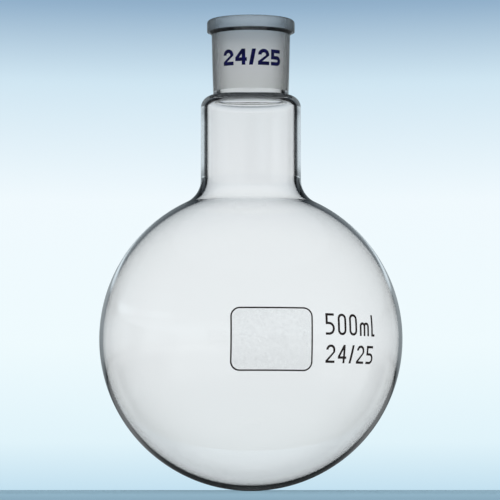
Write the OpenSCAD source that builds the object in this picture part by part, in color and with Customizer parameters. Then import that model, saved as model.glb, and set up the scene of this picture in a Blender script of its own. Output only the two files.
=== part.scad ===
// Round-bottom boiling flask of clear borosilicate glass, with a conical ground socket on a short neck.
// The axis of the flask is Z and the lowest point of the bulb is the origin.
// The marks are on the front, which faces -Y. Sizes are millimetres, angles are degrees.

/* [Bulb] */
// Outside diameter of the bulb
bulb_d = 105; // [84:1:140]
// Glass thickness at the widest ring of the bulb
side_wall = 1.3; // [0.8:0.1:2]
// Glass thickness at the bottom of the bulb
base_wall = 1.6; // [1.2:0.1:3]

/* [Neck] */
// Outside diameter of the neck
neck_d = 34.8; // [32:0.2:44]
// Glass thickness of the neck
neck_wall = 2.2; // [1.4:0.1:2.6]
// Straight length of the neck, from the flare to the shoulder
neck_len = 24.2; // [12:0.2:60]
// Radius of the flare between the bulb and the neck
flare_r = 9; // [5:0.5:14]

/* [Socket] */
// Bore of the ground socket at the mouth
mouth_d = 24; // [18:0.1:29]
// Length of the ground bore
bore_len = 25; // [18:0.5:40]
// Length over which the bore narrows by 1 mm in diameter
taper_run = 10; // [8:1:20]
// Glass thickness of the socket at the mouth
mouth_wall = 1.8; // [1.2:0.1:2.4]
// Glass thickness of the socket where it meets the shoulder
seal_wall = 2.4; // [1.6:0.1:3]
// Length of the clear throat between the ground bore and the shoulder
throat_len = 1.5; // [0.2:0.1:3]

/* [Rim] */
// How far the collar stands out from the socket
collar_proud = 1.5; // [0.8:0.1:3]
// Height of the collar
collar_h = 4.2; // [2.5:0.1:7]
// Radius of the collar's melted top edge
collar_edge_r = 1.2; // [0.3:0.1:1.5]
// Share of the collar's stand-out that slopes down to the socket under it
collar_slope = 0.7; // [0.2:0.05:1]

/* [Writing panel] */
// Thickness of the fired-on layers
mark_t = 0.06; // [0.04:0.01:0.2]
// Width of the panel over its border
panel_w = 27.6; // [15:0.2:40]
// Height of the panel over its border
panel_h = 21.2; // [12:0.2:30]
// Corner radius of the panel
panel_corner_r = 3.2; // [1:0.1:5]
// Width of the border line
border_w = 0.5; // [0.3:0.05:1]
// Turn of the panel about the axis, from the front to the right
panel_turn = 7.8; // [-20:0.1:20]
// Middle of the panel, below the widest ring of the bulb
panel_drop = 2.3; // [-6:0.1:6]

/* [Figures on the bulb] */
// Turn of the middle of both lines about the axis
figures_turn = 40.3; // [36:0.1:60]
// Height of the capacity figures
capacity_h = 7.2; // [3:0.1:9]
// Width of a capacity figure
capacity_w = 3.5; // [2:0.1:4]
// Foot of the capacity line, below the widest ring of the bulb
capacity_drop = 0.7; // [0:0.1:3]
// Height of the figures in the second line
size_h = 6.1; // [3:0.1:8]
// Width of a figure in the second line
size_w = 3.5; // [2:0.1:4]
// Foot of the second line, below the widest ring of the bulb
size_drop = 10; // [10:0.1:14]
// Stroke of the figures on the bulb
figure_stroke = 0.8; // [0.4:0.02:0.9]
// Space between figures on the bulb
figure_gap = 1.3; // [0.8:0.1:2]

/* [Figures on the socket] */
// Turn of the middle of the line about the axis
joint_turn = 2.3; // [-180:0.1:180]
// Middle of the line, below the mouth
joint_drop = 14.5; // [9:0.1:20]
// Height of the figures
joint_h = 5.6; // [3:0.1:7]
// Width of a figure
joint_w = 4.1; // [3:0.1:4.4]
// Stroke of the figures
joint_stroke = 1.25; // [0.6:0.05:1.3]
// Space between figures
joint_gap = 0.7; // [0.5:0.05:1]

/* [Hidden] */
$fn = 128;
glass_colour = [0.86, 0.9, 0.91, 0.45];
ground_colour = [0.66, 0.69, 0.7, 0.9];
panel_colour = [0.93, 0.95, 0.96, 0.8];
enamel_colour = [0.18, 0.14, 0.13];
blue_enamel_colour = [0.04, 0.04, 0.27];
// Cutters run this far past the glass, so that no face is shared
over = 1;
// Heights where two parts meet are whole steps, so that both parts have the same one
step = 0.001;
// Share of the radius at which a drawing starts on its way out to the glass
throw_start = 0.9;

// Bulb: a sphere outside. The inside is a circle swung round the axis a little off its centre,
// which thins the glass from the bottom towards the widest ring.
bulb_r = bulb_d / 2;
hollow_r = bulb_r - base_wall;
hollow_x = base_wall - side_wall;

// Neck and flare: the inner flare has the outer one's middle, one neck wall further in
neck_r = neck_d / 2;
neck_bore_r = neck_r - neck_wall;
hollow_flare_r = flare_r + neck_wall;
flare_top = bulb_r + flare_rise(bulb_r, 0, neck_r, flare_r);
hollow_flare_top = bulb_r + flare_rise(hollow_r, hollow_x, neck_bore_r, hollow_flare_r);
neck_base = ceil(max(flare_top, hollow_flare_top) / step) * step;
shoulder_base = neck_base + neck_len;

// Socket: its outside runs straight from the seal to the mouth
mouth_r = mouth_d / 2;
socket_top_r = mouth_r + mouth_wall;
socket_h = bore_len + throat_len;
throat_r = mouth_r - bore_len / taper_run / 2;
seal_r = throat_r + seal_wall;
shoulder_r = round((neck_r - seal_r) / step) * step;
seal_z = shoulder_base + shoulder_r;
bore_end_z = seal_z + throat_len;
flask_h = seal_z + socket_h;

// Shoulder: its glass is one neck wall thick, and a round lip leads from its hollow into the throat
ceiling_z = seal_z - neck_wall;
hollow_corner_r = max(shoulder_r - neck_wall, 0.2);
lip_r = min(neck_wall, seal_wall, neck_bore_r - throat_r);

// Collar: its bore is the outside of the socket
collar_r = socket_top_r + collar_proud;
collar_base = flask_h - collar_h;
slope_h = collar_slope * collar_proud;
collar_foot = collar_base - slope_h;

// Height of a flare's middle above the bulb's middle, where the flare touches a ball and a tube
function flare_rise(ball_r, ball_x, tube_r, blend_r) =
  sqrt(pow(ball_r + blend_r, 2) - pow(tube_r + blend_r - ball_x, 2));

// Radius of the socket's outside at a height
function socket_r_at(z) = seal_r + (socket_top_r - seal_r) * (z - seal_z) / socket_h;

// Half outline of a ball with a tube on top and a flare between them, from the bottom up to top_z
module ball_and_tube(ball_r, ball_x, tube_r, blend_r, top_z) {
  blend_x = tube_r + blend_r;
  rise = flare_rise(ball_r, ball_x, tube_r, blend_r);
  reach = ball_r / (ball_r + blend_r);
  touch = [ball_x + (blend_x - ball_x) * reach, bulb_r + rise * reach];
  intersection() {
    translate([ball_x, bulb_r]) circle(r = ball_r);
    translate([0, bulb_r - ball_r - over]) square([ball_r + ball_x + over, 2 * (ball_r + over)]);
  }
  translate([0, bulb_r]) square([tube_r, top_z - bulb_r]);
  difference() {
    polygon([[0, touch[1]], touch, [blend_x, bulb_r + rise], [0, bulb_r + rise]]);
    translate([blend_x, bulb_r + rise]) circle(r = blend_r);
  }
}

// The blown sphere with its flare, up to the straight neck
module bulb() {
  color(glass_colour) rotate_extrude() difference() {
    ball_and_tube(bulb_r, 0, neck_r, flare_r, neck_base);
    ball_and_tube(hollow_r, hollow_x, neck_bore_r, hollow_flare_r, neck_base + over);
  }
}

// Straight tube, turned in at the top to a round shoulder with an even wall
module neck() {
  hollow_corner = [neck_bore_r - hollow_corner_r, ceiling_z - hollow_corner_r];
  color(glass_colour) rotate_extrude() difference() {
    union() {
      translate([0, neck_base]) square([neck_r, neck_len]);
      translate([0, shoulder_base]) square([seal_r, shoulder_r]);
      intersection() {
        translate([seal_r, shoulder_base]) circle(r = shoulder_r);
        translate([seal_r, shoulder_base]) square(shoulder_r + over);
      }
    }
    translate([0, neck_base - over]) square([neck_bore_r, hollow_corner[1] - neck_base + over]);
    translate([0, neck_base - over]) square([hollow_corner[0], ceiling_z - neck_base + over]);
    intersection() {
      translate(hollow_corner) circle(r = hollow_corner_r);
      translate(hollow_corner) square(hollow_corner_r + over);
    }
    difference() {
      translate([0, seal_z - lip_r]) square([throat_r + lip_r, lip_r + over]);
      translate([throat_r + lip_r, seal_z]) circle(r = lip_r);
    }
  }
}

// Half outline of the ground bore and the clear throat under it
module socket_bore_outline() {
  polygon([[0, seal_z], [throat_r, seal_z], [throat_r, bore_end_z], [mouth_r, flask_h], [0, flask_h]]);
}

// Half outline of the socket without its bore
module socket_outline() {
  polygon([[0, seal_z], [seal_r, seal_z], [socket_top_r, flask_h], [0, flask_h]]);
}

// Conical socket, ground inside
module ground_socket() {
  color(ground_colour) rotate_extrude() difference() {
    socket_outline();
    socket_bore_outline();
  }
}

// Bead of glass round the mouth, with a melted top edge and a slope down to the socket
module rim_collar() {
  edge = [collar_r - collar_edge_r, flask_h - collar_edge_r];
  foot_r = socket_r_at(collar_foot);
  color(glass_colour) rotate_extrude() difference() {
    union() {
      translate([0, collar_base]) square([collar_r, collar_h - collar_edge_r]);
      translate([0, collar_base]) square([edge[0], collar_h]);
      intersection() {
        translate(edge) circle(r = collar_edge_r);
        translate(edge) square(collar_edge_r + over);
      }
      polygon([[0, collar_foot], [foot_r, collar_foot], [foot_r + slope_h, collar_base], [0, collar_base]]);
    }
    socket_outline();
  }
}

// Thin layer on the outside of the bulb
module bulb_skin() {
  translate([0, 0, bulb_r]) difference() {
    sphere(r = bulb_r + mark_t);
    sphere(r = bulb_r);
  }
}

// Thin layer on the outside of the socket, between the seal and the collar
module socket_skin() {
  difference() {
    translate([0, 0, seal_z]) cylinder(h = collar_foot - seal_z, r1 = seal_r + mark_t,
      r2 = socket_r_at(collar_foot) + mark_t);
    translate([0, 0, seal_z]) cylinder(h = socket_h, r1 = seal_r, r2 = socket_top_r);
  }
}

// Flat drawing thrown forward through a skin of the given radius, at a turn and a height
module thrown(turn, z, radius) {
  start = radius * throw_start;
  rotate(turn) translate([0, -start, z]) rotate([90, 0, 0]) linear_extrude(radius - start + over) children();
}

// Rectangle with round corners about its middle, drawn in by an inset
module rounded_plate(inset) {
  w = panel_w - 2 * inset;
  h = panel_h - 2 * inset;
  r = panel_corner_r - inset;
  square([w, h - 2 * r], center = true);
  square([w - 2 * r, h], center = true);
  for (x = [-1, 1], y = [-1, 1]) translate([x * (w / 2 - r), y * (h / 2 - r)]) circle(r = r);
}

// Matt field for pencil notes
module writing_panel() {
  color(panel_colour) intersection() {
    bulb_skin();
    thrown(panel_turn, bulb_r - panel_drop, bulb_r) rounded_plate(border_w);
  }
}

// Dark outline round the field
module panel_border() {
  color(enamel_colour) intersection() {
    bulb_skin();
    thrown(panel_turn, bulb_r - panel_drop, bulb_r) difference() {
      rounded_plate(0);
      rounded_plate(border_w);
    }
  }
}

// Upper half of a ring with the outside width w, standing on the line y = 0
module arch(w, stroke) {
  translate([w / 2, 0]) intersection() {
    difference() {
      circle(d = w);
      circle(d = w - 2 * stroke);
    }
    translate([-w, 0]) square([2 * w, w]);
  }
}

// The same arch turned down, hanging from the line y = 0
module bowl(w, stroke) {
  mirror([0, 1]) arch(w, stroke);
}

// The same arch turned to the right, with its outside width h upright on the line y = 0
module right_bow(h, stroke) {
  rotate(-90) mirror([1, 0]) arch(h, stroke);
}

// Closed loop with straight sides, w wide and h high
module loop(w, h, stroke) {
  translate([0, h - w / 2]) arch(w, stroke);
  translate([0, w / 2]) bowl(w, stroke);
  for (x = [0, w - stroke]) translate([x, w / 2]) square([stroke, h - w]);
}

// Figures and letters, each drawn in a box w wide and h high
module figure(sign, w, h, stroke) {
  loop_h = 0.6 * h;
  bar_y = 0.24 * h;
  stem_x = 0.72 * w - stroke / 2;
  if (sign == "0") loop(w, h, stroke);
  if (sign == "5") {
    translate([0, h - stroke]) square([w * 0.94, stroke]);
    translate([0, loop_h - stroke]) square([stroke, h - loop_h + stroke]);
    for (y = [0, loop_h - stroke]) translate([0, y]) square([w - loop_h / 2, stroke]);
    translate([w - loop_h / 2, 0]) right_bow(loop_h, stroke);
  }
  if (sign == "2") {
    translate([0, h - w / 2]) arch(w, stroke);
    translate([w - stroke, loop_h]) square([stroke, h - w / 2 - loop_h]);
    polygon([[0, stroke], [1.2 * stroke, stroke], [w, loop_h], [w - stroke, loop_h]]);
    square([w, stroke]);
  }
  if (sign == "4") {
    translate([stem_x, 0]) square([stroke, h]);
    translate([0, bar_y]) square([w, stroke]);
    polygon([[0, bar_y + stroke], [1.1 * stroke, bar_y + stroke], [stem_x + stroke, h], [stem_x, h]]);
  }
  if (sign == "/") polygon([[0, 0], [1.1 * stroke, 0], [w, h], [w - 1.1 * stroke, h]]);
  if (sign == "m") {
    arch_w = (w + stroke) / 2;
    foot_h = 0.64 * h - arch_w / 2;
    for (x = [0, arch_w - stroke]) translate([x, foot_h]) arch(arch_w, stroke);
    for (x = [0, arch_w - stroke, w - stroke]) translate([x, 0]) square([stroke, foot_h]);
  }
  if (sign == "l") {
    square([stroke, h]);
    square([w, stroke]);
  }
}

// Width of a sign, where w is the width of a figure
function sign_w(sign, w) = sign == "/" ? 0.6 * w : sign == "m" ? 1.3 * w : sign == "l" ? 0.5 * w : w;

// Length of the first n signs of a line, each with the gap after it
function run_of(signs, n, w, gap) = n == 0 ? 0 : run_of(signs, n - 1, w, gap) + sign_w(signs[n - 1], w) + gap;

// Line of signs bent round the axis at a radius, with each sign thrown on to the glass by itself
module bent_line(signs, turn, z, radius, w, h, stroke, gap) {
  line_w = run_of(signs, len(signs), w, gap) - gap;
  for (i = [0:len(signs) - 1]) {
    this_w = sign_w(signs[i], w);
    middle = run_of(signs, i, w, gap) + this_w / 2 - line_w / 2;
    thrown(turn + middle / radius * 180 / PI, z, radius)
      translate([-this_w / 2, 0]) figure(signs[i], this_w, h, stroke);
  }
}

// Capacity in plain figures
module capacity_mark() {
  color(enamel_colour) intersection() {
    bulb_skin();
    bent_line("500ml", figures_turn, bulb_r - capacity_drop, bulb_r, capacity_w, capacity_h,
      figure_stroke, figure_gap);
  }
}

// Second line under the capacity
module bulb_size_mark() {
  color(enamel_colour) intersection() {
    bulb_skin();
    bent_line("24/25", figures_turn, bulb_r - size_drop, bulb_r, size_w, size_h, figure_stroke, figure_gap);
  }
}

// Size of the joint on the socket
module socket_size_mark() {
  foot_z = flask_h - joint_drop - joint_h / 2;
  color(blue_enamel_colour) intersection() {
    socket_skin();
    bent_line("24/25", joint_turn, foot_z, socket_r_at(foot_z), joint_w, joint_h, joint_stroke, joint_gap);
  }
}

bulb();
neck();
ground_socket();
rim_collar();
writing_panel();
panel_border();
capacity_mark();
bulb_size_mark();
socket_size_mark();
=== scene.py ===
import math

import bpy
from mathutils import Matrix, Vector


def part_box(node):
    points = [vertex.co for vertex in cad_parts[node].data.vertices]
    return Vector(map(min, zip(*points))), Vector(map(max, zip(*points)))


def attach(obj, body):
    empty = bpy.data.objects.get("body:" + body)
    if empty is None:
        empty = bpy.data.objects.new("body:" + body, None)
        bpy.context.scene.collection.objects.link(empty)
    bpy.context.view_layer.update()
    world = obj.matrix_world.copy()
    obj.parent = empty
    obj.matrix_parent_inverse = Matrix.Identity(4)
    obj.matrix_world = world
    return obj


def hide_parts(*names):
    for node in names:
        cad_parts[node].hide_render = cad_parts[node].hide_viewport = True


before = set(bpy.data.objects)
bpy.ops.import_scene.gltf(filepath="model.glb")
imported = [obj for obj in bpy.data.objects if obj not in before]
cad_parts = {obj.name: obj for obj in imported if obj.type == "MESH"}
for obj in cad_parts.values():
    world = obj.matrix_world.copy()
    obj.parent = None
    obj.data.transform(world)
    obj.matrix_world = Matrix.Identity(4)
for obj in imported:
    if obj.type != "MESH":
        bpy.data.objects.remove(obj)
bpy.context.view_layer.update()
bpy.ops.object.select_all(action="DESELECT")

# Bulb
# The blown sphere with its flare up to the neck, of clear borosilicate glass, thickest at the bottom.
# It is blown in a mould, so its walls wave a little. Here its half outline is drawn line by line
# and arc by arc, and then spun round the axis. The seam to the neck is fused and doesn't show.
MM = 0.001  # the flask's own sizes are in millimetres, and the stage's are in metres
SPIN_STEPS = 192
SMOOTH_ANGLE = math.radians(35)
NEAR = 0.0005
SAME_POINT = 0.00001
BULB_R = 52.5
BULB_HOLLOW_R = 50.9
BULB_HOLLOW_X = 0.3
BULB_HOLLOW_BASE = BULB_R - BULB_HOLLOW_R
NECK_R = 17.4
NECK_BORE_R = 15.2
NECK_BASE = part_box("bulb")[1][2] / MM
FLARE_R = 9.0
FLARE_HOLLOW_R = FLARE_R + NECK_R - NECK_BORE_R
FLARE_X = NECK_R + FLARE_R
FLARE_TOUCH = math.acos(FLARE_X / (BULB_R + FLARE_R))
FLARE_Z = BULB_R + (BULB_R + FLARE_R) * math.sin(FLARE_TOUCH)
HOLLOW_TOUCH = math.acos((FLARE_X - BULB_HOLLOW_X) / (BULB_HOLLOW_R + FLARE_HOLLOW_R))
HOLLOW_FLARE_Z = BULB_R + (BULB_HOLLOW_R + FLARE_HOLLOW_R) * math.sin(HOLLOW_TOUCH)
BULB_STEPS = 128
FLARE_STEPS = 48
GLASS_IOR = 1.473
GLASS_TINT = (0.995, 0.982, 0.974, 1)
SMUDGE_SCALE = 45
SMUDGE_RANGE = (0.62, 0.8)
WAVE_SCALE = 40
WAVE_STRETCH = (1, 1, 2.5)
WAVE_DEPTH = 0.4


def start_outline(name, r, z):
    """Starts a piece with one point of its half outline, and stays in edit mode."""
    bpy.ops.object.select_all(action="DESELECT")
    bpy.ops.mesh.primitive_plane_add(size=MM, enter_editmode=True)
    bpy.context.object.name = name
    bpy.context.object.data.name = name
    bpy.ops.mesh.select_all(action="SELECT")
    bpy.ops.mesh.merge(type="CENTER")
    bpy.ops.transform.translate(value=(r * MM, 0, z * MM))


def draw_line(from_r, from_z, to_r, to_z):
    """Draws a straight run on from the last point."""
    move = ((to_r - from_r) * MM, 0, (to_z - from_z) * MM)
    bpy.ops.mesh.extrude_region_move(TRANSFORM_OT_translate={"value": move})


def draw_arc(middle_r, middle_z, angle, steps):
    """Draws an arc on from the last point, counter-clockwise where the angle is positive."""
    middle = (middle_r * MM, 0, middle_z * MM)
    bpy.ops.mesh.spin(steps=steps, angle=angle, center=middle, axis=(0, 1, 0))


def spin_outline():
    """Spins the finished outline into a closed wall and shades it smooth between its corners."""
    bpy.ops.mesh.select_all(action="SELECT")
    bpy.ops.mesh.spin(steps=SPIN_STEPS, angle=math.tau, center=(0, 0, 0), axis=(0, 0, 1))
    bpy.ops.mesh.select_all(action="SELECT")
    bpy.ops.mesh.remove_doubles(threshold=SAME_POINT * MM)
    bpy.ops.mesh.normals_make_consistent(inside=False)
    bpy.ops.object.mode_set(mode="OBJECT")
    bpy.ops.object.shade_smooth_by_angle(angle=SMOOTH_ANGLE)
    return bpy.context.object


def paint_faces(piece, slot, wanted):
    """Gives a material slot to the faces whose corners all pass a test on radius and height."""
    points = [(math.hypot(v.co.x, v.co.y) / MM, v.co.z / MM) for v in piece.data.vertices]
    for face in piece.data.polygons:
        if all(wanted(*points[corner]) for corner in face.vertices):
            face.material_index = slot


def new_material(name):
    """Makes a material with one empty output and returns it with its node tree and output."""
    material = bpy.data.materials.new(name)
    material.use_nodes = True
    tree = material.node_tree
    tree.nodes.clear()
    return material, tree, tree.nodes.new("ShaderNodeOutputMaterial")


def new_group(name, inputs, outputs):
    """Starts a node group with named sockets and returns it with its input and output nodes."""
    group = bpy.data.node_groups.new(name, "ShaderNodeTree")
    for label, kind in inputs.items():
        group.interface.new_socket(label, in_out="INPUT", socket_type=kind)
    for label, kind in outputs.items():
        group.interface.new_socket(label, in_out="OUTPUT", socket_type=kind)
    return group, group.nodes.new("NodeGroupInput"), group.nodes.new("NodeGroupOutput")


def place_group(tree, group, values):
    """Places a node group in a material with the material's own values."""
    node = tree.nodes.new("ShaderNodeGroup")
    node.node_tree = group
    for label, value in values.items():
        node.inputs[label].default_value = value
    return node


def set_input(tree, socket, value):
    """Gives an input a number, a colour or a link."""
    if isinstance(value, bpy.types.NodeSocket):
        tree.links.new(value, socket)
    else:
        socket.default_value = value


def object_place(tree):
    """The place on the piece, in metres from the flask's lowest point."""
    return tree.nodes.new("ShaderNodeTexCoord").outputs["Object"]


def noise_node(tree, coordinates, scale, detail, roughness):
    """A noise texture on the given coordinates."""
    noise = tree.nodes.new("ShaderNodeTexNoise")
    for label, value in (("Vector", coordinates), ("Scale", scale),
                         ("Detail", detail), ("Roughness", roughness)):
        set_input(tree, noise.inputs[label], value)
    return noise.outputs["Fac"]


def range_node(tree, value, low, high, to_low, to_high):
    """Maps a value from one range to another, and keeps it there."""
    mapped = tree.nodes.new("ShaderNodeMapRange")
    for label, setting in (("Value", value), ("From Min", low), ("From Max", high),
                           ("To Min", to_low), ("To Max", to_high)):
        set_input(tree, mapped.inputs[label], setting)
    return mapped.outputs["Result"]


def bump_node(tree, height, strength, distance):
    """A normal that follows a height."""
    bump = tree.nodes.new("ShaderNodeBump")
    for label, value in (("Height", height), ("Strength", strength), ("Distance", distance)):
        set_input(tree, bump.inputs[label], value)
    return bump.outputs["Normal"]


def glass_shader(tree, output):
    """The shader of solid borosilicate glass."""
    shader = tree.nodes.new("ShaderNodeBsdfPrincipled")
    shader.inputs["IOR"].default_value = GLASS_IOR
    shader.inputs["Transmission Weight"].default_value = 1
    tree.links.new(shader.outputs["BSDF"], output.inputs["Surface"])
    return shader


blown_surface, take, give = new_group(
    "blown surface", {"Smudge": "NodeSocketFloat", "Wave": "NodeSocketFloat"},
    {"Roughness": "NodeSocketFloat", "Normal": "NodeSocketVector"})
place = object_place(blown_surface)
spots = noise_node(blown_surface, place, SMUDGE_SCALE, detail=4, roughness=0.6)
smudges = range_node(blown_surface, spots, *SMUDGE_RANGE, 0, take.outputs["Smudge"])
stretch = blown_surface.nodes.new("ShaderNodeMapping")
stretch.inputs["Scale"].default_value = WAVE_STRETCH
blown_surface.links.new(place, stretch.inputs["Vector"])
waves = noise_node(blown_surface, stretch.outputs["Vector"], WAVE_SCALE, detail=2, roughness=0.45)
wavy = bump_node(blown_surface, waves, take.outputs["Wave"], WAVE_DEPTH * MM)
blown_surface.links.new(smudges, give.inputs["Roughness"])
blown_surface.links.new(wavy, give.inputs["Normal"])

clear_glass, tree, output = new_material("clear glass")
shader = glass_shader(tree, output)
shader.inputs["Base Color"].default_value = GLASS_TINT
surface = place_group(tree, blown_surface, {"Smudge": 0.03, "Wave": 0.05})
tree.links.new(surface.outputs["Roughness"], shader.inputs["Roughness"])
tree.links.new(surface.outputs["Normal"], shader.inputs["Normal"])

fused_seam, tree, output = new_material("fused seam")
shader = tree.nodes.new("ShaderNodeBsdfTransparent")
tree.links.new(shader.outputs["BSDF"], output.inputs["Surface"])

start_outline("bulb_glass", 0, 0)
draw_arc(0, BULB_R, math.pi / 2 + FLARE_TOUCH, BULB_STEPS)
draw_arc(FLARE_X, FLARE_Z, -FLARE_TOUCH, FLARE_STEPS)
draw_line(NECK_R, FLARE_Z, NECK_R, NECK_BASE)
draw_line(NECK_R, NECK_BASE, NECK_BORE_R, NECK_BASE)
draw_line(NECK_BORE_R, NECK_BASE, NECK_BORE_R, HOLLOW_FLARE_Z)
draw_arc(FLARE_X, HOLLOW_FLARE_Z, HOLLOW_TOUCH, FLARE_STEPS)
draw_arc(BULB_HOLLOW_X, BULB_R, -math.pi / 2 - HOLLOW_TOUCH, BULB_STEPS)
draw_line(BULB_HOLLOW_X, BULB_HOLLOW_BASE, 0, BULB_HOLLOW_BASE)
bulb = spin_outline()
bulb.data.materials.append(clear_glass)
bulb.data.materials.append(fused_seam)
paint_faces(bulb, 1, lambda r, z: z > NECK_BASE - NEAR)
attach(bulb, "root")
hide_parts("bulb")

# Neck
# The straight tube between the bulb and the socket, of the same clear glass.
# Its top is melted and turned in to a round shoulder, on which the socket is sealed.
SEAL_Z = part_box("neck")[1][2] / MM
SEAL_R = 13.15
THROAT_R = 10.75
SHOULDER_R = NECK_R - SEAL_R
SHOULDER_BASE = SEAL_Z - SHOULDER_R
CEILING_Z = SEAL_Z - (NECK_R - NECK_BORE_R)
HOLLOW_CORNER_R = CEILING_Z - SHOULDER_BASE
LIP_R = SEAL_Z - CEILING_Z
SHOULDER_STEPS = 32
LIP_STEPS = 24

start_outline("neck_glass", NECK_R, NECK_BASE)
draw_line(NECK_R, NECK_BASE, NECK_R, SHOULDER_BASE)
draw_arc(SEAL_R, SHOULDER_BASE, math.pi / 2, SHOULDER_STEPS)
draw_line(SEAL_R, SEAL_Z, THROAT_R, SEAL_Z)
draw_arc(THROAT_R + LIP_R, SEAL_Z, math.pi / 2, LIP_STEPS)
draw_line(THROAT_R + LIP_R, CEILING_Z, NECK_BORE_R - HOLLOW_CORNER_R, CEILING_Z)
draw_arc(NECK_BORE_R - HOLLOW_CORNER_R, SHOULDER_BASE, -math.pi / 2, LIP_STEPS)
draw_line(NECK_BORE_R, SHOULDER_BASE, NECK_BORE_R, NECK_BASE)
draw_line(NECK_BORE_R, NECK_BASE, NECK_R, NECK_BASE)
neck = spin_outline()
neck.data.materials.append(clear_glass)
neck.data.materials.append(fused_seam)
paint_faces(neck, 1, lambda r, z: z < NECK_BASE + NEAR)
paint_faces(neck, 1, lambda r, z: z > SEAL_Z - NEAR)
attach(neck, "root")
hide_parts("neck")

# Ground socket
# The conical socket of glass, clear outside and ground matt in its bore to hold a cone tight.
# It is sealed on to the shoulder. The grinding is darker towards the mouth: painted shade, for the dark
# band under the collar.
FLASK_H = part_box("ground_socket")[1][2] / MM
MOUTH_R = 12.0
BORE_LEN = 25.0
BORE_END = FLASK_H - BORE_LEN
SOCKET_TOP_R = 13.8
COLLAR_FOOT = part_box("rim_collar")[0][2] / MM
COLLAR_FOOT_R = SEAL_R + (SOCKET_TOP_R - SEAL_R) * (COLLAR_FOOT - SEAL_Z) / (FLASK_H - SEAL_Z)
# The two top stops, from 22 mm up, are painted shade: darker towards the mouth.
BORE_TINTS_AND_SHADE = [
    (0, (0.78, 0.77, 0.735, 1)), (6, (0.81, 0.79, 0.775, 1)), (18.7, (0.7, 0.715, 0.725, 1)),
    (22, (0.4, 0.47, 0.53, 1)), (25, (0.3, 0.36, 0.42, 1)),
]
GRAIN_SCALE = 2500
GRAIN_RANGE = (0.3, 0.7)
GRAIN_DEPTH = 0.05
FINEST_GRIND = 0.42
COARSEST_GRIND = 0.62


def ramp_node(tree, value, stops):
    """A colour ramp with the given positions and colours."""
    ramp = tree.nodes.new("ShaderNodeValToRGB")
    elements = ramp.color_ramp.elements
    elements.remove(elements[-1])
    elements[0].position = stops[0][0]
    elements[0].color = stops[0][1]
    for position, colour in stops[1:]:
        elements.new(position).color = colour
    tree.links.new(value, ramp.inputs["Fac"])
    return ramp.outputs["Color"]


def tint_by_height(tree, foot, rise, tints):
    """A colour that changes with the height above a foot, with its stops in millimetres."""
    parts = tree.nodes.new("ShaderNodeSeparateXYZ")
    tree.links.new(object_place(tree), parts.inputs["Vector"])
    share = range_node(tree, parts.outputs["Z"], foot * MM, (foot + rise) * MM, 0, 1)
    return ramp_node(tree, share, [(height / rise, tint) for height, tint in tints])


fine_grain, take, give = new_group(
    "fine grain", {"Scale": "NodeSocketFloat", "Low": "NodeSocketFloat", "High": "NodeSocketFloat"},
    {"Amount": "NodeSocketFloat", "Height": "NodeSocketFloat"})
grain = noise_node(fine_grain, object_place(fine_grain), take.outputs["Scale"], detail=2, roughness=0.6)
amount = range_node(fine_grain, grain, *GRAIN_RANGE, take.outputs["Low"], take.outputs["High"])
fine_grain.links.new(amount, give.inputs["Amount"])
fine_grain.links.new(grain, give.inputs["Height"])

ground_glass, tree, output = new_material("ground glass")
shader = glass_shader(tree, output)
tree.links.new(tint_by_height(tree, BORE_END, BORE_LEN, BORE_TINTS_AND_SHADE), shader.inputs["Base Color"])
grain = place_group(tree, fine_grain, {"Scale": GRAIN_SCALE, "Low": FINEST_GRIND, "High": COARSEST_GRIND})
tree.links.new(grain.outputs["Amount"], shader.inputs["Roughness"])
rough = bump_node(tree, grain.outputs["Height"], strength=0.5, distance=GRAIN_DEPTH * MM)
tree.links.new(rough, shader.inputs["Normal"])

start_outline("socket_glass", SEAL_R, SEAL_Z)
draw_line(SEAL_R, SEAL_Z, COLLAR_FOOT_R, COLLAR_FOOT)
draw_line(COLLAR_FOOT_R, COLLAR_FOOT, SOCKET_TOP_R, FLASK_H)
draw_line(SOCKET_TOP_R, FLASK_H, MOUTH_R, FLASK_H)
draw_line(MOUTH_R, FLASK_H, THROAT_R, BORE_END)
draw_line(THROAT_R, BORE_END, THROAT_R, SEAL_Z)
draw_line(THROAT_R, SEAL_Z, SEAL_R, SEAL_Z)
socket = spin_outline()
socket.data.materials.append(clear_glass)
socket.data.materials.append(fused_seam)
socket.data.materials.append(ground_glass)
paint_faces(socket, 2, lambda r, z: r < MOUTH_R + NEAR and z > BORE_END - NEAR)
paint_faces(socket, 1, lambda r, z: z < SEAL_Z + NEAR)
paint_faces(socket, 1, lambda r, z: z > COLLAR_FOOT - NEAR and r > COLLAR_FOOT_R - NEAR)
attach(socket, "root")
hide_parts("ground_socket")

# Rim collar
# The thick bead of clear glass round the mouth, with a melted top edge and a slope under it.
# It is fused to the socket. The slope and the top edge are darker: painted shade, for the dark band under
# the collar and the dark outline of the melted top edge.
COLLAR_R = 15.3
COLLAR_EDGE_R = 1.2
COLLAR_CORNER_R = 0.15
COLLAR_SLOPE = 1.05
COLLAR_BASE = COLLAR_FOOT + COLLAR_SLOPE
COLLAR_SLOPE_R = COLLAR_FOOT_R + COLLAR_SLOPE
COLLAR_H = FLASK_H - COLLAR_FOOT
EDGE_STEPS = 16
CORNER_STEPS = 8
# The slope's near-black tint and the top edge's dark grey tint are painted shade, not the glass's own
# colour.
SLOPE_PAINTED_SHADE = (0.004, 0.0045, 0.005, 1)
SLOPE_SHADE_TOP = COLLAR_SLOPE - 0.1
COLLAR_TINT = (0.93, 0.95, 0.96, 1)
COLLAR_TINT_FOOT = COLLAR_SLOPE + 0.15
COLLAR_TINT_TOP = COLLAR_H - 0.6
EDGE_PAINTED_SHADE = (0.12, 0.13, 0.15, 1)
EDGE_SHADE_FOOT = COLLAR_H - 0.1
COLLAR_TINTS_AND_SHADE = [
    (SLOPE_SHADE_TOP, SLOPE_PAINTED_SHADE), (COLLAR_TINT_FOOT, COLLAR_TINT),
    (COLLAR_TINT_TOP, COLLAR_TINT), (EDGE_SHADE_FOOT, EDGE_PAINTED_SHADE),
]

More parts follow.
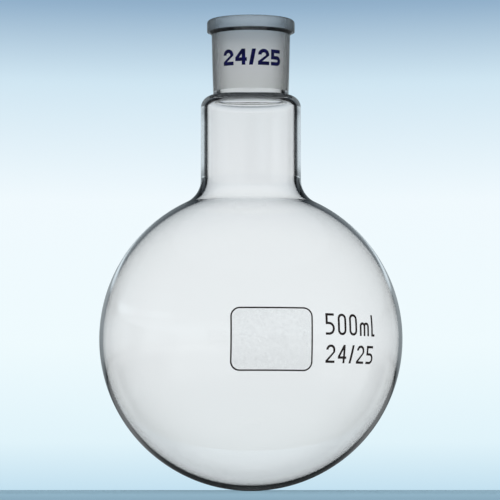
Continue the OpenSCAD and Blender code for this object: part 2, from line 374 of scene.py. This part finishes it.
collar_glass, tree, output = new_material("collar glass")
shader = glass_shader(tree, output)
tree.links.new(tint_by_height(tree, COLLAR_FOOT, COLLAR_H, COLLAR_TINTS_AND_SHADE), shader.inputs["Base Color"])
surface = place_group(tree, blown_surface, {"Smudge": 0.05, "Wave": 0.05})
tree.links.new(surface.outputs["Roughness"], shader.inputs["Roughness"])
tree.links.new(surface.outputs["Normal"], shader.inputs["Normal"])

start_outline("collar_glass", COLLAR_FOOT_R, COLLAR_FOOT)
draw_line(COLLAR_FOOT_R, COLLAR_FOOT, COLLAR_SLOPE_R, COLLAR_BASE)
draw_line(COLLAR_SLOPE_R, COLLAR_BASE, COLLAR_R - COLLAR_CORNER_R, COLLAR_BASE)
draw_arc(COLLAR_R - COLLAR_CORNER_R, COLLAR_BASE + COLLAR_CORNER_R, math.pi / 2, CORNER_STEPS)
draw_line(COLLAR_R, COLLAR_BASE + COLLAR_CORNER_R, COLLAR_R, FLASK_H - COLLAR_EDGE_R)
draw_arc(COLLAR_R - COLLAR_EDGE_R, FLASK_H - COLLAR_EDGE_R, math.pi / 2, EDGE_STEPS)
draw_line(COLLAR_R - COLLAR_EDGE_R, FLASK_H, SOCKET_TOP_R, FLASK_H)
draw_line(SOCKET_TOP_R, FLASK_H, COLLAR_FOOT_R, COLLAR_FOOT)
collar = spin_outline()
collar.data.materials.append(collar_glass)
collar.data.materials.append(fused_seam)
paint_faces(collar, 1, lambda r, z: r < SOCKET_TOP_R + NEAR and not COLLAR_FOOT + NEAR < z < FLASK_H - NEAR)
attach(collar, "root")
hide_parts("rim_collar")

# Writing panel
# A field for pencil notes on the front of the bulb, of thin matt enamel that the glass shows through.
# It is printed and fired on. The shape is the part's own.
PANEL_COLOUR = (0.62, 0.63, 0.64, 1)
PANEL_ROUGHNESS = 0.8
PANEL_GRAIN_SCALE = 900
THINNEST_COVER = 0.05
THICKEST_COVER = 0.09


def paint_node(name, material):
    """Gives a material to a part that is shown in its own shape."""
    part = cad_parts[name]
    part.data.materials.clear()
    part.data.materials.append(material)


matt_enamel, tree, output = new_material("matt enamel")
shader = tree.nodes.new("ShaderNodeBsdfPrincipled")
shader.inputs["Base Color"].default_value = PANEL_COLOUR
shader.inputs["Roughness"].default_value = PANEL_ROUGHNESS
grain = place_group(
    tree, fine_grain, {"Scale": PANEL_GRAIN_SCALE, "Low": THINNEST_COVER, "High": THICKEST_COVER})
tree.links.new(grain.outputs["Amount"], shader.inputs["Alpha"])
tree.links.new(shader.outputs["BSDF"], output.inputs["Surface"])
paint_node("writing_panel", matt_enamel)

# Panel border
# The line round the writing panel, of brown-black enamel.
# It is printed and fired on, a little thinner and browner in spots.
BROWN_BLACK = (0.022, 0.015, 0.014, 1)
WORN_BROWN = (0.05, 0.038, 0.035, 1)
WEAR_SCALE = 700
WEAR_RANGE = (0.45, 0.75)
ENAMEL_ROUGHNESS = 0.4
ENAMEL_SPECULAR = 0.25


def mix_colours(tree, share, first, second, blend="MIX"):
    """A mix of two colours or colour sockets by a share."""
    node = tree.nodes.new("ShaderNodeMix")
    node.data_type = "RGBA"
    node.blend_type = blend
    for label, value in (("Factor", share), ("A", first), ("B", second)):
        set_input(tree, node.inputs[label], value)
    return node.outputs["Result"]


worn_print, take, give = new_group(
    "worn print", {"Colour": "NodeSocketColor", "Worn Colour": "NodeSocketColor"},
    {"Colour": "NodeSocketColor"})
spots = noise_node(worn_print, object_place(worn_print), WEAR_SCALE, detail=3, roughness=0.6)
wear = range_node(worn_print, spots, *WEAR_RANGE, 0, 1)
print_colour = mix_colours(worn_print, wear, take.outputs["Colour"], take.outputs["Worn Colour"])
worn_print.links.new(print_colour, give.inputs["Colour"])


def enamel_material(name, colour, worn_colour):
    """Fired-on print, half glossy, with worn spots."""
    material, tree, output = new_material(name)
    shader = tree.nodes.new("ShaderNodeBsdfPrincipled")
    shader.inputs["Roughness"].default_value = ENAMEL_ROUGHNESS
    shader.inputs["Specular IOR Level"].default_value = ENAMEL_SPECULAR
    ink = place_group(tree, worn_print, {"Colour": colour, "Worn Colour": worn_colour})
    tree.links.new(ink.outputs["Colour"], shader.inputs["Base Color"])
    tree.links.new(shader.outputs["BSDF"], output.inputs["Surface"])
    return material


dark_enamel = enamel_material("dark enamel", BROWN_BLACK, WORN_BROWN)
paint_node("panel_border", dark_enamel)

# Capacity mark
# The flask's capacity in plain figures, of the same brown-black enamel.
# It is printed and fired on to the bulb, to the right of the panel.
paint_node("capacity_mark", dark_enamel)

# Bulb size mark
# The socket's size in plain figures, as a second line under the capacity.
# It is of the same brown-black enamel, and printed and fired on with it.
paint_node("bulb_size_mark", dark_enamel)

# Socket size mark
# The socket's size in plain figures again, of dark blue enamel.
# It is printed and fired on to the front of the socket.
DARK_BLUE = (0.003, 0.003, 0.045, 1)
WORN_BLUE = (0.008, 0.008, 0.12, 1)
blue_enamel = enamel_material("blue enamel", DARK_BLUE, WORN_BLUE)
paint_node("socket_size_mark", blue_enamel)

# Floor
# A plain pale table top that runs to the horizon, with a painted blue-grey sheen in its colour where it is
# seen aslant.
# It shows through the glass as if lit from below, and dark where a wall of the glass mirrors it.
FLOOR_R = 25
FLOOR_SIDES = 128
FLOOR_COLOUR = (0.8, 0.84, 0.86, 1)
FLOOR_PAINTED_SHEEN = (0.25, 0.38, 0.46, 1)
FLOOR_PAINTED_SHEEN_RANGE = (0.88, 0.99)
FLOOR_LIGHT = (0.9, 1, 1.05, 1)
MIRRORED_R = 120
MIRRORED_LIGHT = [
    (0, (0.015, 0.017, 0.018, 1)), (42, (0.02, 0.023, 0.024, 1)), (84, (0.08, 0.086, 0.09, 1)),
    (MIRRORED_R, (0.15, 0.16, 0.165, 1)),
]
TWO_WALL_PASSES = 4


def math_node(tree, operation, first, second=0):
    """A math node on sockets or numbers."""
    node = tree.nodes.new("ShaderNodeMath")
    node.operation = operation
    set_input(tree, node.inputs[0], first)
    set_input(tree, node.inputs[1], second)
    return node.outputs["Value"]


def looked_at_in_glass(tree):
    """1 for what is looked at by way of the glass, and 0 for light on its way to a matt surface."""
    path = tree.nodes.new("ShaderNodeLightPath")
    mirrored = path.outputs["Is Glossy Ray"]
    by_glass = math_node(tree, "MAXIMUM", mirrored, path.outputs["Is Transmission Ray"])
    looked_at = math_node(tree, "LESS_THAN", path.outputs["Diffuse Depth"], 1)
    return math_node(tree, "MULTIPLY", by_glass, looked_at)


def mirrored_by_wall(tree):
    """1 for what one wall of glass mirrors, outside or within, and 0 for what shows through it."""
    path = tree.nodes.new("ShaderNodeLightPath")
    mirrored = math_node(tree, "MINIMUM", path.outputs["Glossy Depth"], 1)
    one_wall = math_node(tree, "LESS_THAN", path.outputs["Transmission Depth"], TWO_WALL_PASSES)
    return math_node(tree, "MULTIPLY", mirrored, one_wall)


def mix_shaders(tree, share, first, second, output):
    """Puts out a mix of two shaders by a share."""
    mix = tree.nodes.new("ShaderNodeMixShader")
    tree.links.new(share, mix.inputs["Fac"])
    tree.links.new(first, mix.inputs[1])
    tree.links.new(second, mix.inputs[2])
    tree.links.new(mix.outputs["Shader"], output.inputs["Surface"])


bpy.ops.object.select_all(action="DESELECT")
bpy.ops.mesh.primitive_circle_add(vertices=FLOOR_SIDES, radius=FLOOR_R, fill_type="NGON")
floor = bpy.context.object
floor.name = "floor"
floor_paint, tree, output = new_material("floor")
shader = tree.nodes.new("ShaderNodeBsdfDiffuse")
# The blue-grey where the floor is seen aslant is a painted sheen, mixed into the diffuse colour by Layer
# Weight.
weight = tree.nodes.new("ShaderNodeLayerWeight")
painted_sheen = range_node(tree, weight.outputs["Facing"], *FLOOR_PAINTED_SHEEN_RANGE, 0, 1)
tree.links.new(mix_colours(tree, painted_sheen, FLOOR_COLOUR, FLOOR_PAINTED_SHEEN), shader.inputs["Color"])
shine = tree.nodes.new("ShaderNodeEmission")
from_foot = tree.nodes.new("ShaderNodeVectorMath")
from_foot.operation = "LENGTH"
tree.links.new(object_place(tree), from_foot.inputs[0])
share = math_node(tree, "DIVIDE", from_foot.outputs["Value"], MIRRORED_R * MM)
mirrored_light = ramp_node(tree, share, [(at / MIRRORED_R, light) for at, light in MIRRORED_LIGHT])
table_light = mix_colours(tree, mirrored_by_wall(tree), FLOOR_LIGHT, mirrored_light)
tree.links.new(table_light, shine.inputs["Color"])
mix_shaders(tree, looked_at_in_glass(tree), shader.outputs["BSDF"], shine.outputs["Emission"], output)
floor.data.materials.append(floor_paint)

# Backdrop
# A round paper wall that glows, bright on three sides, dim between them and towards the top.
# It is brightest ahead, and can't be seen from outside, so that a camera may stand behind any part.
BACKDROP_R = 0.55
BACKDROP_TOP = 0.7
BACKDROP_SIDES = 256
LIT_SIDES = (0, 90, 225)
SHOWN_HEIGHTS = [
    (0, (0.55, 0.75, 0.87, 1)), (25, (0.75, 0.9, 0.96, 1)), (75, (0.86, 0.96, 0.99, 1)),
    (150, (0.87, 0.95, 0.99, 1)), (212, (0.63, 0.79, 0.89, 1)), (253, (0.29, 0.44, 0.6, 1)),
    (310, (0.06, 0.1, 0.15, 1)),
]
LIT_HEIGHTS = [
    (0, (0.9, 0.96, 0.98, 1)), (60, (0.93, 0.97, 0.99, 1)), (150, (0.91, 0.95, 0.97, 1)),
    (176, (0.88, 0.92, 0.95, 1)), (196, (0.84, 0.89, 0.92, 1)), (228, (0.78, 0.83, 0.87, 1)),
    (260, (0.72, 0.77, 0.81, 1)), (300, (0.6, 0.65, 0.7, 1)), (360, (0.3, 0.34, 0.38, 1)),
    (450, (0.1, 0.12, 0.14, 1)), (700, (0.02, 0.02, 0.02, 1)),
]
LOW_SIDE_GREYS = [(0, 1), (16, 1), (22, 0.7), (30, 0.8), (52, 0.8), (60, 0.5)]
HIGH_SIDE_GREYS = [(0, 1), (20, 1), (26, 0.9), (30, 0.55), (33, 0.15), (35, 0.02), (60, 0.01)]
MIRRORED_HEIGHT_GREYS = [
    (0, 0.015), (8, 0.03), (20, 0.16), (45, 0.32), (100, 0.4), (162, 0.4), (170, 0.95), (198, 0.95),
    (212, 0.25), (400, 0.2),
]
MIRRORED_SIDE_GREYS = [(0, 0.5), (7, 0.6), (11, 1)]
NOT_MIRRORED = (1, 1, 1, 1)
GREY_TINT = (0.955, 0.985, 1)
WIDEST_SIDE = 60
LOW_TOP = 0.1
HIGH_FOOT = 0.16
BEHIND_Y = 0.2 * BACKDROP_R
AHEAD_Y = 0.6 * BACKDROP_R
HIGH_BEHIND_GREY = 0.45


def grey_ramp(tree, share, whole, stops):
    """A ramp of cool greys over a share of a whole, with stops in the whole's own unit."""
    red, green, blue = GREY_TINT
    greys = [(at / whole, (grey * red, grey * green, grey * blue, 1)) for at, grey in stops]
    return ramp_node(tree, share, greys)


def degrees_aside(tree, across, along):
    """Degrees aside from the nearest lit side, seen from the axis."""
    squares = math_node(tree, "ADD", math_node(tree, "MULTIPLY", across, across),
                        math_node(tree, "MULTIPLY", along, along))
    away = math_node(tree, "SQRT", squares)
    nearest = -1
    for degrees in LIT_SIDES:
        one = math_node(tree, "MULTIPLY", across, -math.sin(math.radians(degrees)))
        other = math_node(tree, "MULTIPLY", along, math.cos(math.radians(degrees)))
        ahead = math_node(tree, "DIVIDE", math_node(tree, "ADD", one, other), away)
        nearest = math_node(tree, "MAXIMUM", nearest, ahead)
    angle = math_node(tree, "ARCCOSINE", math_node(tree, "MINIMUM", nearest, 1))
    return math_node(tree, "DEGREES", angle)


bpy.ops.object.select_all(action="DESELECT")
bpy.ops.mesh.primitive_cylinder_add(vertices=BACKDROP_SIDES, radius=BACKDROP_R, depth=BACKDROP_TOP,
                                    end_fill_type="NOTHING", enter_editmode=True)
bpy.ops.mesh.select_all(action="SELECT")
bpy.ops.transform.translate(value=(0, 0, BACKDROP_TOP / 2))
bpy.ops.mesh.flip_normals()
bpy.ops.object.mode_set(mode="OBJECT")
bpy.ops.object.shade_smooth()
backdrop = bpy.context.object
backdrop.name = "backdrop"
paper, tree, output = new_material("backdrop")
parts = tree.nodes.new("ShaderNodeSeparateXYZ")
tree.links.new(object_place(tree), parts.inputs["Vector"])
height = math_node(tree, "DIVIDE", parts.outputs["Z"], BACKDROP_TOP)
top = BACKDROP_TOP / MM
by_shown_height = ramp_node(tree, height, [(at / top, light) for at, light in SHOWN_HEIGHTS])
by_lit_height = ramp_node(tree, height, [(at / top, light) for at, light in LIT_HEIGHTS])
aside = degrees_aside(tree, parts.outputs["X"], parts.outputs["Y"])
side = math_node(tree, "DIVIDE", aside, WIDEST_SIDE)
by_low_side = grey_ramp(tree, side, WIDEST_SIDE, LOW_SIDE_GREYS)
by_high_side = grey_ramp(tree, side, WIDEST_SIDE, HIGH_SIDE_GREYS)
ahead = range_node(tree, parts.outputs["Y"], BEHIND_Y, AHEAD_Y, HIGH_BEHIND_GREY, 1)
by_high_side = mix_colours(tree, 1, by_high_side, ahead, "MULTIPLY")
upper = range_node(tree, parts.outputs["Z"], LOW_TOP, HIGH_FOOT, 0, 1)
by_side = mix_colours(tree, upper, by_low_side, by_high_side)
by_mirrored_height = grey_ramp(tree, height, top, MIRRORED_HEIGHT_GREYS)
by_mirrored_side = grey_ramp(tree, side, WIDEST_SIDE, MIRRORED_SIDE_GREYS)
by_mirrored = mix_colours(tree, 1, by_mirrored_height, by_mirrored_side, "MULTIPLY")
by_wall = mix_colours(tree, mirrored_by_wall(tree), NOT_MIRRORED, by_mirrored)
lit = mix_colours(tree, 1, by_lit_height, by_side, "MULTIPLY")
lit = mix_colours(tree, 1, lit, by_wall, "MULTIPLY")
path = tree.nodes.new("ShaderNodeLightPath")
glow = tree.nodes.new("ShaderNodeEmission")
tree.links.new(mix_colours(tree, path.outputs["Is Camera Ray"], lit, by_shown_height), glow.inputs["Color"])
unseen = tree.nodes.new("ShaderNodeBsdfTransparent")
facing = tree.nodes.new("ShaderNodeNewGeometry")
mix_shaders(tree, facing.outputs["Backfacing"], glow.outputs["Emission"], unseen.outputs["BSDF"], output)
backdrop.data.materials.append(paper)

# Light
# Soft daylight all round and one large soft lamp above the table.
# The glass doesn't mirror the lamp, and shows the room over the backdrop as dark.
DAYLIGHT = (0.62, 0.66, 0.7, 1)
DARK_ROOM = (0.1, 0.11, 0.12, 1)
LAMP_PLACE = (0, -0.2, 0.9)
LAMP_SIZE = 0.8
LAMP_WATTS = 8
GLASS_BOUNCES = 32
MIRROR_BOUNCES = 16
world = bpy.data.worlds.new("daylight")
bpy.context.scene.world = world
world.use_nodes = True
tree = world.node_tree
tree.nodes.clear()
sky = tree.nodes.new("ShaderNodeBackground")
sky_colour = mix_colours(tree, looked_at_in_glass(tree), DAYLIGHT, DARK_ROOM)
tree.links.new(sky_colour, sky.inputs["Color"])
world_output = tree.nodes.new("ShaderNodeOutputWorld")
tree.links.new(sky.outputs["Background"], world_output.inputs["Surface"])

bpy.ops.object.light_add(type="AREA", location=LAMP_PLACE)
lamp = bpy.context.object
lamp.name = "soft light above"
lamp.data.size = LAMP_SIZE
lamp.data.energy = LAMP_WATTS
lamp.visible_glossy = False
lamp.visible_transmission = False

scene = bpy.context.scene
scene.cycles.max_bounces = GLASS_BOUNCES
scene.cycles.transmission_bounces = GLASS_BOUNCES
scene.cycles.transparent_max_bounces = GLASS_BOUNCES
scene.cycles.glossy_bounces = MIRROR_BOUNCES
scene.cycles.caustics_reflective = False
scene.view_settings.view_transform = "Standard"

# Camera
# A long lens just above the table, 1.1 m in front of the flask, tipped up a little.
# It gives the photo's view, with the horizon just over the bottom of the bulb.
CAMERA_PLACE = (-0.0003, -1.1, 0.001)
CAMERA_TILT = math.radians(4.287)
CAMERA_LENS = 228.7
bpy.ops.object.camera_add(location=CAMERA_PLACE, rotation=(math.pi / 2 + CAMERA_TILT, 0, 0))
camera = bpy.context.object
camera.data.lens = CAMERA_LENS
scene.camera = camera
